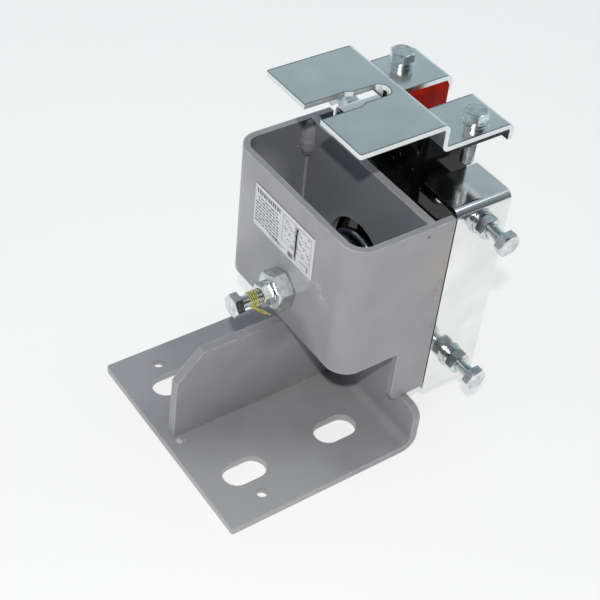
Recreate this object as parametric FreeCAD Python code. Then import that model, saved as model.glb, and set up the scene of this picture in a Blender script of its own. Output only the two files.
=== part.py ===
import FreeCAD, Part
import math
import os

# Elevator guide shoe, millimetres.
# Origin: centre of the four base slots on the mounting face.
# +X points to the guide rail, +Z is up, and the shoe is mounted by the plate at z = 0.

# Base plate and upright, one bent plate
plate_t = 5.0
base_width = 150.0
slot_pitch_x = 66.0
slot_pitch_y = 83.4
slot_width = 17.5
slot_length = 28.5
free_end_margin = 29.5
upright_setback = 32.5
base_corner_r = 1.5
bend_inner_r = 5.5
shoulder_height = 33.5
shoulder_r = 8.5
dowel_d = 7.0
dowel_pitch = 121.6
upright_hole_d = 53.0

# Gusset under the housing
gusset_t = 6.0
gusset_y = 4.4
gusset_inset = 6.0
gusset_height = 63.4
gusset_chamfer = 18.0
gusset_lean = 1.6
gusset_snipe = 9.0
gusset_nose_r = 2.0

# Housing shell, bent from one plate
housing_wall = 4.0
housing_width = 120.0
housing_corner_r = 14.0
housing_depth = 51.3
housing_bottom = 74.0
housing_top = 166.0
wall_reach = 16.5
ear_back = 8.4
ear_gap = 1.0
ear_corner_r = 5.0
ear_inner_r = 2.5

# Weld runs
bead_leg = 4.0
seam_leg = 1.5
lump_leg = 7.5
lump_height = 24.0
bead_inset = 3.0
bead_crown = 0.6
lump_below_edge = 1.0

# Adjuster in the housing wall
axis_z = 99.0
sleeve_d = 14.0
sleeve_bore = 9.0
sleeve_proud = 0.5
sleeve_past_nut = 4.0
sleeve_nut_af = 22.0
locknut_t = 10.0
weld_nut_t = 10.0

# Spring, its seat and the spigot inside it
spring_d = 40.0
spring_wire_d = 6.5
spring_turns = 3.5
spring_end_grind = 0.4
spring_runs_per_turn = 12
seat_d = 42.0
seat_flange_t = 4.0
seat_hub_length = 4.0
spigot_length = 25.0
spigot_bore_end = 3.0
spring_core_clearance = 1.4

# Sheet channel that floats between the housing walls
channel_t = 3.0
channel_gap = 2.5
channel_side_clearance = 0.25
channel_bend_r = 3.0
channel_bottom = 31.0
channel_leg = 41.0
channel_top_clearance = 0.4

# Zinc cheeks
cheek_t = 3.0
cheek_bottom = 27.5
cheek_below_wing = 32.8
cheek_depth = 39.2
cheek_gap = 2.3
cheek_bend_r = 2.5
cheek_corner_r = 2.0
cheek_flange_clearance = 0.4

# Liner, its holder and the rubber round it
rail_gap = 17.0
liner_leg_t = 8.0
liner_web_t = 8.0
liner_lip_clearance = 0.4
liner_nose_r = 2.0
liner_clearance = 0.1
liner_lead_in = 2.0
holder_t = 3.0
holder_bottom = 30.0
holder_leg = 38.0
holder_bend_r = 1.5
floor_slot_margin = 1.0
liner_relief = 1.0
liner_root_r = 1.0
wing_inset = 0.65
wing_setback = 4.5
wing_end_margin = 2.2
back_cushion_t = 10.0
back_cushion_width = 34.0
back_cushion_height = 125.0
side_cushion_t = 7.5
side_cushion_d = 20.0
pressure_disc_d = 16.0
pressure_disc_t = 2.0

# Zinc plate on top, which carries the oiler
top_t = 3.0
top_z = 219.0
top_width = 87.3
top_length = 59.3
joggle_drop = 15.0
tongue_gap = 20.4
tongue_length = 48.4
riser_setback = 3.5
lip_drop = 10.5
top_bend_r = 1.5
oiler_slot_mouth = 15.0
oiler_slot_width = 11.2
oiler_slot_depth = 50.2
oiler_slot_step = 26.5
oiler_slot_taper = 4.0
oiler_slot_step_r = 2.0
oiler_slot_y = -0.8
top_corner_r = 1.5

# Screws, nuts and washers
m8_d = 8.0
m8_clear_d = 9.0
m8_af = 13.0
m8_head_t = 5.3
m8_nut_t = 6.5
m8_washer_d = 16.0
m8_washer_t = 1.6
m8_spring_washer_d = 14.0
m8_spring_washer_t = 2.1
m8_washer_bore = 8.4
thread_clearance = 0.05
side_bolt_length = 50.0
side_bolt_setback = 21.5
side_bolt_low_z = 51.0
side_bolt_below_top = 11.7
bracket_bolt_length = 30.0
bracket_bolt_edge = 10.65
bracket_bolt_from_riser = 27.7
stop_bolt_length = 80.0
stop_shank_shown = 13.6

# Foil plate on the housing
label_width = 59.0
label_height = 29.5
label_y = 4.5
label_drop = 28.25
label_t = 0.5
label_corner_r = 1.0

# Thread wound round the stop bolt
thread_d = 0.9
thread_loops = 3
loop_pitch = 1.9
loop_tilt_deg = 8.0
loop_fit = 0.1
knot_d = 2.6
knot_length = 2.4
knot_side = 1.8
tail_spread = 0.65
tail_exit = 3.2
thread_sides = 6

# Places worked out from the sizes above
Vector = FreeCAD.Vector
X_AXIS = Vector(1, 0, 0)
Y_AXIS = Vector(0, 1, 0)
Z_AXIS = Vector(0, 0, 1)
SIDES = (-1, 1)

# The knot's direction, each tail's runs after its straight exit, and how much of a run an arc may take
KNOT_AHEAD = Vector(1.0, -0.35, -2.2).normalize()
TAIL_STEPS = {
    -1: [Vector(3.4, -0.5, -3.2), Vector(4.0, 0.4, -2.6), Vector(3.0, 0.9, -3.6)],
    1: [Vector(3.1, 0.6, -3.4), Vector(3.4, 0.9, -3.2), Vector(3.4, 0.5, -2.6)],
}
TAIL_ROUNDING = 0.45

upright_x = slot_pitch_x / 2 + upright_setback
free_end_x = -slot_pitch_x / 2 - free_end_margin
upright_front_x = upright_x + plate_t
inner_half_width = housing_width / 2 - housing_wall
housing_x = upright_x - housing_depth
wall_end_x = upright_x + wall_reach
ear_x = upright_x - ear_back
sleeve_start_x = housing_x - locknut_t - sleeve_proud
weld_nut_x = housing_x + housing_wall
seat_x = weld_nut_x + weld_nut_t + sleeve_past_nut
spring_start_x = seat_x + seat_flange_t
channel_x = upright_front_x + channel_gap
channel_front_x = channel_x + channel_t
channel_half_width = inner_half_width - channel_side_clearance
cheek_x = wall_end_x + cheek_gap
cheek_inner_y = channel_half_width
cheek_outer_y = cheek_inner_y + cheek_t
spigot_d = spring_d - 2 * (spring_wire_d + spring_core_clearance)
holder_x = channel_front_x + back_cushion_t
liner_x = holder_x + holder_t + liner_clearance
liner_half_width = rail_gap / 2 + liner_leg_t
holder_inner_y = liner_half_width + liner_clearance
holder_outer_y = holder_inner_y + holder_t
tongue_top = top_z - joggle_drop
wing_top = tongue_top - top_t
cheek_top = wing_top - cheek_below_wing
channel_top = cheek_top - cheek_t - cheek_bend_r - channel_top_clearance
riser_x = cheek_x - riser_setback
top_back_x = riser_x - top_length
tongue_end_x = riser_x + tongue_length
liner_end_x = tongue_end_x - top_t - liner_lip_clearance
wing_half_width = top_width / 2 - wing_inset
wing_back_x = holder_x + wing_setback
wing_front_x = tongue_end_x - top_t - wing_end_margin
side_bolt_x = cheek_x + cheek_depth - side_bolt_setback
side_bolt_zs = (side_bolt_low_z, cheek_top - side_bolt_below_top)
cushion_outer_y = holder_outer_y + side_cushion_t
cheek_flange_y = cushion_outer_y + cheek_flange_clearance
side_bolt_tip_y = cushion_outer_y + pressure_disc_t
bracket_bolt_x = riser_x + bracket_bolt_from_riser
bracket_bolt_y = top_width / 2 - bracket_bolt_edge
label_z = housing_top - label_drop
stop_nut_x = sleeve_start_x - m8_nut_t
stop_head_x = stop_nut_x - stop_shank_shown
loop_r = (m8_d + thread_d) / 2 + loop_fit
first_loop_x = stop_nut_x - thread_d / 2 - loop_r * math.sin(math.radians(loop_tilt_deg)) - loop_fit


def in_xy(u, v, w):
    return Vector(u, v, w)


def in_xz(u, v, w):
    return Vector(u, w, v)


def in_yz(u, v, w):
    return Vector(w, u, v)


def corner_arc(before, corner, after, radius):
    """Start, middle and end of the arc that rounds one corner of an outline."""
    back = (before - corner).normalize()
    ahead = (after - corner).normalize()
    half = back.getAngle(ahead) / 2
    reach = radius / math.tan(half)
    middle = corner + (back + ahead).normalize() * (radius / math.sin(half) - radius)
    return corner + back * reach, middle, corner + ahead * reach


def prism(corners, plane, start, length):
    """Solid between start and start + length, with an outline of (u, v, radius) corners."""
    points = [plane(u, v, start) for u, v, _ in corners]
    edges = []
    ends = []
    for i, (_, _, radius) in enumerate(corners):
        if radius <= 0:
            ends.append((points[i], points[i]))
            continue
        a, middle, b = corner_arc(points[i - 1], points[i], points[(i + 1) % len(points)], radius)
        edges.append(Part.Arc(a, middle, b).toShape())
        ends.append((a, b))
    for (_, leaves), (meets, _) in zip(ends, ends[1:] + ends[:1]):
        if (meets - leaves).Length > 1e-6:
            edges.append(Part.makeLine(leaves, meets))
    face = Part.Face(Part.Wire(Part.__sortEdges__(edges)))
    return face.extrude(plane(0, 0, length))


def block(x, y, z):
    """Box from three (low, high) pairs."""
    return Part.makeBox(x[1] - x[0], y[1] - y[0], z[1] - z[0], Vector(x[0], y[0], z[0]))


def rod(diameter, start, direction, length):
    return Part.makeCylinder(diameter / 2, length, start, direction)


def ring(outer_d, bore_d, start, direction, length):
    return rod(outer_d, start, direction, length).cut(rod(bore_d, start, direction, length))


def hexagon(across_flats, start, direction, length):
    radius = across_flats / math.sqrt(3)
    turns = [math.radians(60 * i) for i in range(7)]
    points = [Vector(radius * math.cos(turn), radius * math.sin(turn), 0) for turn in turns]
    shape = Part.Face(Part.makePolygon(points)).extrude(Vector(0, 0, length))
    shape.Placement = FreeCAD.Placement(start, FreeCAD.Rotation(Z_AXIS, direction))
    return shape


def hex_nut(across_flats, bore_d, start, direction, length):
    body = hexagon(across_flats, start, direction, length)
    return body.cut(rod(bore_d, start, direction, length))


def bolt(under_head, direction, length):
    """M8 hexagon screw whose shank runs from under its head along direction."""
    head = hexagon(m8_af, under_head, direction * -1, m8_head_t)
    return head.fuse(rod(m8_d, under_head, direction, length)).removeSplitter()


def drilled(shape, diameter, places, direction, depth):
    for place in places:
        shape = shape.cut(rod(diameter, place - direction * depth, direction, 2 * depth))
    return shape


def group(shapes):
    return Part.makeCompound(shapes)


def slot_hole(x, y):
    """Through slot of the base, long side along X, cut from one cylinder at each end."""
    reach = (slot_length - slot_width) / 2
    ends = [rod(slot_width, Vector(x + side * reach, y, -1), Z_AXIS, plate_t + 2) for side in SIDES]
    middle = block((x - reach, x + reach), (y - slot_width / 2, y + slot_width / 2), (-1, plate_t + 1))
    return ends[0].fuse([ends[1], middle])


def make_base_bracket():
    """Bent plate: the side view gives the bend, the front view the shoulders of the upright."""
    side_view = [
        (free_end_x, 0, 0),
        (upright_front_x, 0, bend_inner_r + plate_t),
        (upright_front_x, housing_top, 0),
        (upright_x, housing_top, 0),
        (upright_x, plate_t, bend_inner_r),
        (free_end_x, plate_t, 0),
    ]
    half = base_width / 2
    front_view = [
        (-half, 0, 0),
        (half, 0, 0),
        (half, shoulder_height, shoulder_r),
        (inner_half_width, shoulder_height, 0),
        (inner_half_width, housing_top, 0),
        (-inner_half_width, housing_top, 0),
        (-inner_half_width, shoulder_height, 0),
        (-half, shoulder_height, shoulder_r),
    ]
    top_view = [
        (free_end_x, -half, base_corner_r),
        (upright_front_x, -half, 0),
        (upright_front_x, half, 0),
        (free_end_x, half, base_corner_r),
    ]
    plate = prism(side_view, in_xz, -half, base_width)
    plate = plate.common(prism(front_view, in_yz, free_end_x, upright_front_x - free_end_x))
    plate = plate.common(prism(top_view, in_xy, 0, housing_top))
    for x_side in SIDES:
        for y_side in SIDES:
            plate = plate.cut(slot_hole(x_side * slot_pitch_x / 2, y_side * slot_pitch_y / 2))
    dowels = [Vector(-slot_pitch_x / 2, side * dowel_pitch / 2, 0) for side in SIDES]
    plate = drilled(plate, dowel_d, dowels, Z_AXIS, 2 * plate_t)
    return drilled(plate, upright_hole_d, [Vector(upright_x, 0, axis_z)], X_AXIS, 2 * plate_t)


def make_gusset_plate():
    front = free_end_x + gusset_inset
    top = plate_t + gusset_height
    outline = [
        (front, plate_t, 0),
        (front + gusset_lean, top - gusset_chamfer, gusset_nose_r),
        (front + gusset_lean + gusset_chamfer, top, gusset_nose_r),
        (upright_x, top, 0),
        (upright_x, plate_t + gusset_snipe, 0),
        (upright_x - gusset_snipe, plate_t, 0),
    ]
    return prism(outline, in_xz, gusset_y - gusset_t / 2, gusset_t)


def make_housing_shell():
    half = housing_width / 2
    inner_r = housing_corner_r - housing_wall
    top_view = [
        (wall_end_x, -half, 0),
        (wall_end_x, -inner_half_width, 0),
        (housing_x + housing_wall, -inner_half_width, inner_r),
        (housing_x + housing_wall, inner_half_width, inner_r),
        (wall_end_x, inner_half_width, 0),
        (wall_end_x, half, 0),
        (housing_x, half, housing_corner_r),
        (housing_x, -half, housing_corner_r),
    ]
    ear_bottom = shoulder_height + ear_gap
    side_view = [
        (housing_x, housing_bottom, 0),
        (ear_x, housing_bottom, ear_inner_r),
        (ear_x, ear_bottom, ear_corner_r),
        (wall_end_x, ear_bottom, 0),
        (wall_end_x, housing_top, 0),
        (housing_x, housing_top, 0),
    ]
    shell = prism(top_view, in_xy, ear_bottom, housing_top - ear_bottom)
    shell = shell.common(prism(side_view, in_xz, -half, housing_width))
    hole_d = sleeve_d + 2 * thread_clearance
    return drilled(shell, hole_d, [Vector(housing_x, 0, axis_z)], X_AXIS, 2 * housing_wall)


def weld_run(corner, side_a, side_b, along, leg):
    """Fillet bead with a rounded face, lying on two plates that meet at a corner line."""
    a = corner + side_a * leg
    b = corner + side_b * leg
    crown = corner + (side_a + side_b) * (leg * bead_crown)
    face = Part.Face(Part.Wire([
        Part.makeLine(corner, a), Part.Arc(a, crown, b).toShape(), Part.makeLine(b, corner)]))
    return face.extrude(along)


def make_weld_beads():
    """Runs that join gusset, plate and housing, with the lump left in the inner corner."""
    beads = []
    gusset_side = gusset_y + gusset_t / 2
    base_run = upright_x - gusset_snipe - free_end_x - gusset_inset - 2 * bead_inset
    start = Vector(free_end_x + gusset_inset + bead_inset, gusset_side, plate_t)
    beads.append(weld_run(start, Y_AXIS, Z_AXIS, X_AXIS * base_run, bead_leg))
    rise = gusset_height - gusset_snipe - 2 * bead_inset
    for side in SIDES:
        edge_y = gusset_y + side * gusset_t / 2
        foot = Vector(upright_x, edge_y, plate_t + gusset_snipe + bead_inset)
        beads.append(weld_run(foot, X_AXIS * -1, Y_AXIS * side, Z_AXIS * rise, bead_leg))
    lump_foot = housing_top - lump_height
    seam_top = {-1: housing_top - bead_inset, 1: lump_foot}
    for side in SIDES:
        foot = Vector(upright_x, side * inner_half_width, housing_bottom + bead_inset)
        run = Z_AXIS * (seam_top[side] - foot.z)
        beads.append(weld_run(foot, X_AXIS * -1, Y_AXIS * -side, run, seam_leg))
    foot = Vector(upright_x, inner_half_width, lump_foot)
    beads.append(weld_run(foot, X_AXIS * -1, Y_AXIS * -1, Z_AXIS * (lump_height - lump_below_edge), lump_leg))
    return group(beads)


def make_adjuster_sleeve():
    start = Vector(sleeve_start_x, 0, axis_z)
    return ring(sleeve_d, sleeve_bore, start, X_AXIS, seat_x - sleeve_start_x)


def make_adjuster_weld_nut():
    start = Vector(weld_nut_x, 0, axis_z)
    return hex_nut(sleeve_nut_af, sleeve_d + 2 * thread_clearance, start, X_AXIS, weld_nut_t)


def make_adjuster_locknut():
    start = Vector(housing_x, 0, axis_z)
    return hex_nut(sleeve_nut_af, sleeve_d + 2 * thread_clearance, start, X_AXIS * -1, locknut_t)


def make_spring_seat():
    """Turned seat: a flange for the spring and a hub that centres it."""
    start = Vector(seat_x, 0, axis_z)
    hub = rod(spigot_d, start, X_AXIS, seat_flange_t + seat_hub_length)
    body = rod(seat_d, start, X_AXIS, seat_flange_t).fuse(hub).removeSplitter()
    return drilled(body, sleeve_bore, [start], X_AXIS, 2 * (seat_flange_t + seat_hub_length))


def make_compression_spring():
    """Coil of short straight runs between the seat and the channel, with both ends ground flat."""
    length = channel_x - spring_start_x
    coil_r = (spring_d - spring_wire_d) / 2
    inset = spring_wire_d / 2 - spring_end_grind
    run_count = round(spring_turns * spring_runs_per_turn)
    points = []
    for i in range(run_count + 1):
        turn = 2 * math.pi * i / spring_runs_per_turn
        rise = (length - 2 * inset) * i / run_count
        points.append(Vector(coil_r * math.cos(turn), coil_r * math.sin(turn), inset + rise))
    section = Part.Wire(Part.makeCircle(spring_wire_d / 2, points[0], points[1] - points[0]))
    coil = Part.makePolygon(points).makePipeShell([section], True, False, 1)
    coil = coil.common(Part.makeCylinder(spring_d, length))
    coil.Placement = FreeCAD.Placement(
        Vector(spring_start_x, 0, axis_z), FreeCAD.Rotation(Z_AXIS, X_AXIS))
    return coil


def make_identity_label():
    half = label_width / 2
    low = label_z - label_height / 2
    high = label_z + label_height / 2
    outline = [
        (label_y - half, low, label_corner_r),
        (label_y + half, low, label_corner_r),
        (label_y + half, high, label_corner_r),
        (label_y - half, high, label_corner_r),
    ]
    return prism(outline, in_yz, housing_x - label_t, label_t)


def side_bolt_places(y):
    return [Vector(side_bolt_x, side * y, z) for side in SIDES for z in side_bolt_zs]


def make_back_channel():
    """Sheet U whose legs slide between the housing walls and carry the cheeks."""
    half = channel_half_width
    inner = half - channel_t
    outer_r = channel_bend_r + channel_t
    top_view = [
        (channel_x, -half, outer_r),
        (channel_x + channel_leg, -half, 0),
        (channel_x + channel_leg, -inner, 0),
        (channel_front_x, -inner, channel_bend_r),
        (channel_front_x, inner, channel_bend_r),
        (channel_x + channel_leg, inner, 0),
        (channel_x + channel_leg, half, 0),
        (channel_x, half, outer_r),
    ]
    sheet = prism(top_view, in_xy, channel_bottom, channel_top - channel_bottom)
    bore = m8_d + 2 * thread_clearance
    return drilled(sheet, bore, side_bolt_places(half), Y_AXIS, 2 * channel_t)


def make_guide_spigot():
    start = Vector(channel_x, 0, axis_z)
    boss = rod(spigot_d, start, X_AXIS * -1, spigot_length)
    bore = rod(m8_d + 2 * thread_clearance, start - X_AXIS * spigot_length, X_AXIS,
               spigot_length - spigot_bore_end)
    return boss.cut(bore)


def make_cheek_plate(side):
    """Zinc sheet with its top edge bent inwards over the head."""
    front_view = [
        (side * cheek_outer_y, cheek_bottom, 0),
        (side * cheek_outer_y, cheek_top, cheek_bend_r + cheek_t),
        (side * cheek_flange_y, cheek_top, 0),
        (side * cheek_flange_y, cheek_top - cheek_t, 0),
        (side * cheek_inner_y, cheek_top - cheek_t, cheek_bend_r),
        (side * cheek_inner_y, cheek_bottom, 0),
    ]
    end_x = cheek_x + cheek_depth
    side_outline = [
        (cheek_x, cheek_bottom, cheek_corner_r),
        (end_x, cheek_bottom, cheek_corner_r),
        (end_x, cheek_top, 0),
        (cheek_x, cheek_top, 0),
    ]
    sheet = prism(front_view, in_yz, cheek_x, cheek_depth)
    sheet = sheet.common(prism(side_outline, in_xz, -housing_width, 2 * housing_width))
    places = [Vector(side_bolt_x, side * cheek_outer_y, z) for z in side_bolt_zs]
    return drilled(sheet, m8_clear_d, places, Y_AXIS, 2 * cheek_t)


def make_back_cushion():
    mid_z = (channel_bottom + channel_top) / 2
    half_height = back_cushion_height / 2
    half_width = back_cushion_width / 2
    return block((channel_front_x, holder_x), (-half_width, half_width),
                 (mid_z - half_height, mid_z + half_height))


def discs(diameter, inner_y, thickness):
    """One disc in front of each side bolt, on both sides."""
    shapes = []
    for side in SIDES:
        for z in side_bolt_zs:
            start = Vector(side_bolt_x, side * inner_y, z)
            shapes.append(rod(diameter, start, Y_AXIS * side, thickness))
    return group(shapes)


def make_liner_holder():
    """Channel round the liner, with a slotted floor and two wings for the top plate."""
    end_x = holder_x + holder_leg
    outer = holder_outer_y
    inner = holder_inner_y
    top_view = [
        (holder_x, -outer, holder_bend_r + holder_t),
        (end_x, -outer, 0),
        (end_x, -inner, 0),
        (holder_x + holder_t, -inner, holder_bend_r),
        (holder_x + holder_t, inner, holder_bend_r),
        (end_x, inner, 0),
        (end_x, outer, 0),
        (holder_x, outer, holder_bend_r + holder_t),
    ]
    shape = prism(top_view, in_xy, holder_bottom, wing_top - holder_bottom)
    floor_y = rail_gap / 2 + floor_slot_margin
    slot_x = liner_x + liner_web_t
    floor = block((holder_x + holder_t / 2, end_x), (-inner, inner), (holder_bottom, holder_bottom + holder_t))
    floor = floor.cut(block((slot_x, end_x + 1), (-floor_y, floor_y), (0, wing_top)))
    shape = shape.fuse(floor)
    for side in SIDES:
        wing = block((wing_back_x, wing_front_x), sorted((side * inner, side * wing_half_width)),
                     (wing_top - holder_t, wing_top))
        shape = shape.fuse(wing.cut(block((end_x, wing_front_x + 1), (-outer, outer), (0, wing_top + 1))))
    places = [Vector(bracket_bolt_x, side * bracket_bolt_y, wing_top) for side in SIDES]
    return drilled(shape.removeSplitter(), m8_d + 2 * thread_clearance, places, Z_AXIS, 2 * holder_t)


def make_slide_liner():
    """Plastic U that runs on the rail, eased at its ends where the rail enters."""
    end_x = liner_end_x
    half = liner_half_width
    gap = rail_gap / 2
    web_x = liner_x + liner_web_t
    relief = holder_bend_r + liner_relief
    top_view = [
        (liner_x, -half, relief),
        (end_x, -half, 0),
        (end_x, -gap, 0),
        (web_x, -gap, liner_root_r),
        (web_x, gap, liner_root_r),
        (end_x, gap, 0),
        (end_x, half, 0),
        (liner_x, half, relief),
    ]
    low = holder_bottom + holder_t
    shape = prism(top_view, in_xy, low, wing_top - low)
    side_view = [
        (liner_x, low, 0),
        (end_x, low, liner_nose_r),
        (end_x, wing_top, liner_nose_r),
        (liner_x, wing_top, 0),
    ]
    shape = shape.common(prism(side_view, in_xz, -half, 2 * half))
    for z, inward in ((low, 1), (wing_top, -1)):
        mouth = [
            (-gap - liner_lead_in, z, 0),
            (gap + liner_lead_in, z, 0),
            (gap, z + inward * liner_lead_in, 0),
            (-gap, z + inward * liner_lead_in, 0),
        ]
        shape = shape.cut(prism(mouth, in_yz, web_x, end_x - web_x))
    return shape


def make_oiler_bracket():
    """Sheet with a joggle down to two tongues, and a slot for the oiler's stem."""
    half = top_width / 2
    outer_r = top_bend_r + top_t
    end_x = tongue_end_x
    side_view = [
        (top_back_x, top_z, 0),
        (riser_x, top_z, outer_r),
        (riser_x, tongue_top, top_bend_r),
        (end_x, tongue_top, outer_r),
        (end_x, tongue_top - lip_drop, 0),
        (end_x - top_t, tongue_top - lip_drop, 0),
        (end_x - top_t, wing_top, top_bend_r),
        (riser_x - top_t, wing_top, outer_r),
        (riser_x - top_t, top_z - top_t, top_bend_r),
        (top_back_x, top_z - top_t, 0),
    ]
    top_view = [
        (top_back_x, -half, top_corner_r),
        (end_x, -half, 0),
        (end_x, half, 0),
        (top_back_x, half, top_corner_r),
    ]
    height = joggle_drop + lip_drop
    low = top_z - height
    sheet = prism(side_view, in_xz, -half, top_width)
    sheet = sheet.common(prism(top_view, in_xy, low, height))
    mouth = oiler_slot_mouth / 2
    narrow = oiler_slot_width / 2
    slot_end = top_back_x + oiler_slot_depth
    step_x = top_back_x + oiler_slot_step
    slot_side = [
        (top_back_x - 1, mouth, 0),
        (step_x, mouth, oiler_slot_step_r),
        (step_x + oiler_slot_taper, narrow, oiler_slot_step_r),
        (slot_end, narrow, narrow * 0.98),
    ]
    other_side = [(x, -y, radius) for x, y, radius in reversed(slot_side)]
    slot = [(x, y + oiler_slot_y, radius) for x, y, radius in slot_side + other_side]
    sheet = sheet.cut(prism(slot, in_xy, top_z - 2 * top_t, 3 * top_t))
    gap_half = tongue_gap / 2
    sheet = sheet.cut(block((riser_x - top_t, end_x + 1), (-gap_half, gap_half), (low - 1, top_z - top_t)))
    sheet = sheet.cut(block((riser_x, end_x + 1), (-gap_half, gap_half), (low - 1, top_z + 1)))
    places = [Vector(bracket_bolt_x, side * bracket_bolt_y, tongue_top) for side in SIDES]
    return drilled(sheet, m8_clear_d, places, Z_AXIS, 2 * top_t)


def bracket_stack():
    """Washer, spring washer and bolt on each tongue."""
    washers = []
    spring_washers = []
    bolts = []
    for side in SIDES:
        seat = Vector(bracket_bolt_x, side * bracket_bolt_y, tongue_top)
        washers.append(ring(m8_washer_d, m8_washer_bore, seat, Z_AXIS, m8_washer_t))
        seat = seat + Z_AXIS * m8_washer_t
        spring_washers.append(ring(m8_spring_washer_d, m8_washer_bore, seat, Z_AXIS, m8_spring_washer_t))
        seat = seat + Z_AXIS * m8_spring_washer_t
        bolts.append(bolt(seat, Z_AXIS * -1, bracket_bolt_length))
    return {
        "bracket_washers": group(washers),
        "bracket_spring_washers": group(spring_washers),
        "bracket_bolts": group(bolts),
    }


def side_stack():
    """Side bolts bear on the pressure discs and are locked by a nut against each cheek."""
    washers = []
    spring_washers = []
    nuts = []
    bolts = []
    for side in SIDES:
        out = Y_AXIS * side
        for z in side_bolt_zs:
            seat = Vector(side_bolt_x, side * cheek_outer_y, z)
            washers.append(ring(m8_washer_d, m8_washer_bore, seat, out, m8_washer_t))
            seat = seat + out * m8_washer_t
            spring_washers.append(ring(m8_spring_washer_d, m8_washer_bore, seat, out, m8_spring_washer_t))
            seat = seat + out * m8_spring_washer_t
            nuts.append(hex_nut(m8_af, m8_d + 2 * thread_clearance, seat, out, m8_nut_t))
            under_head = Vector(side_bolt_x, side * (side_bolt_tip_y + side_bolt_length), z)
            bolts.append(bolt(under_head, out * -1, side_bolt_length))
    return {
        "side_washers": group(washers),
        "side_spring_washers": group(spring_washers),
        "side_locknuts": group(nuts),
        "side_bolts": group(bolts),
    }


def thread_section(centre, along):
    """Outline of the thread at a point, flat-sided as a thread's strands make it."""
    outline = []
    for i in range(thread_sides + 1):
        turn = 2 * math.pi * i / thread_sides
        outline.append(Vector(math.cos(turn), math.sin(turn), 0) * (thread_d / 2))
    wire = Part.makePolygon(outline)
    wire.Placement = FreeCAD.Placement(centre, FreeCAD.Rotation(Z_AXIS, along))
    return wire


def make_seal_thread():
    """Loops round the shank beside the nut, closed by a knot below them."""
    tilt = math.radians(loop_tilt_deg)
    normal = Vector(math.cos(tilt), math.sin(tilt), 0)
    loops = []
    for i in range(thread_loops):
        centre = Vector(first_loop_x - i * loop_pitch, 0, axis_z)
        section = thread_section(centre + Z_AXIS * loop_r, normal.cross(Z_AXIS))
        loops.append(Part.Face(section).revolve(centre, normal, 360))
    knot = rod(knot_d, knot_start(), KNOT_AHEAD, knot_length)
    return loops[0].fuse(loops[1:] + [knot])


def knot_start():
    return Vector(first_loop_x - thread_loops * loop_pitch / 2, -knot_side, axis_z - loop_r)


def make_thread_tail(side):
    """One free end of the thread: straight runs joined by tangent arcs, from the knot down."""
    across = X_AXIS.cross(KNOT_AHEAD).normalize()
    start = knot_start() + KNOT_AHEAD * knot_length + across * (side * tail_spread)
    points = [start, start + KNOT_AHEAD * tail_exit]
    for step in TAIL_STEPS[side]:
        points.append(points[-1] + step)
    edges = []
    at = points[0]
    for before, corner, after in zip(points, points[1:], points[2:]):
        turn = (corner - before).getAngle(after - corner)
        radius = TAIL_ROUNDING * min((corner - before).Length, (after - corner).Length) / math.tan(turn / 2)
        a, middle, b = corner_arc(before, corner, after, radius)
        edges.append(Part.makeLine(at, a))
        edges.append(Part.Arc(a, middle, b).toShape())
        at = b
    edges.append(Part.makeLine(at, points[-1]))
    section = thread_section(points[0], points[1] - points[0])
    return Part.Wire(edges).makePipeShell([section], True, False)


def make_all():
    parts = {
        "base_bracket": make_base_bracket(),
        "gusset_plate": make_gusset_plate(),
        "housing_shell": make_housing_shell(),
        "weld_beads": make_weld_beads(),
        "adjuster_sleeve": make_adjuster_sleeve(),
        "adjuster_weld_nut": make_adjuster_weld_nut(),
        "adjuster_locknut": make_adjuster_locknut(),
        "spring_seat": make_spring_seat(),
        "compression_spring": make_compression_spring(),
        "identity_label": make_identity_label(),
        "back_channel": make_back_channel(),
        "guide_spigot": make_guide_spigot(),
        "cheek_plate_right": make_cheek_plate(-1),
        "cheek_plate_left": make_cheek_plate(1),
        "back_cushion": make_back_cushion(),
        "side_cushions": discs(side_cushion_d, holder_outer_y, side_cushion_t),
        "pressure_discs": discs(pressure_disc_d, cushion_outer_y, pressure_disc_t),
        "liner_holder": make_liner_holder(),
        "slide_liner": make_slide_liner(),
        "oiler_bracket": make_oiler_bracket(),
        "stop_bolt": bolt(Vector(stop_head_x, 0, axis_z), X_AXIS, stop_bolt_length),
        "stop_bolt_locknut": hex_nut(
            m8_af, m8_d + 2 * thread_clearance, Vector(stop_nut_x, 0, axis_z), X_AXIS, m8_nut_t),
        "seal_thread": make_seal_thread(),
        "seal_thread_tail_1": make_thread_tail(-1),
        "seal_thread_tail_2": make_thread_tail(1),
    }
    parts.update(bracket_stack())
    parts.update(side_stack())
    return parts


os.makedirs("parts", exist_ok=True)
for name, shape in make_all().items():
    shape.exportStep("parts/" + name + ".step")
    print(name, len(shape.Solids), "solids", round(shape.Volume), "mm3", shape.isValid())
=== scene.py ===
"""Looks of the elevator guide shoe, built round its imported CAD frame. Lengths are metres."""

import logging
import math
from dataclasses import dataclass, field
from enum import Enum
from typing import ClassVar

import bpy
from mathutils import Matrix, Vector, noise


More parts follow.
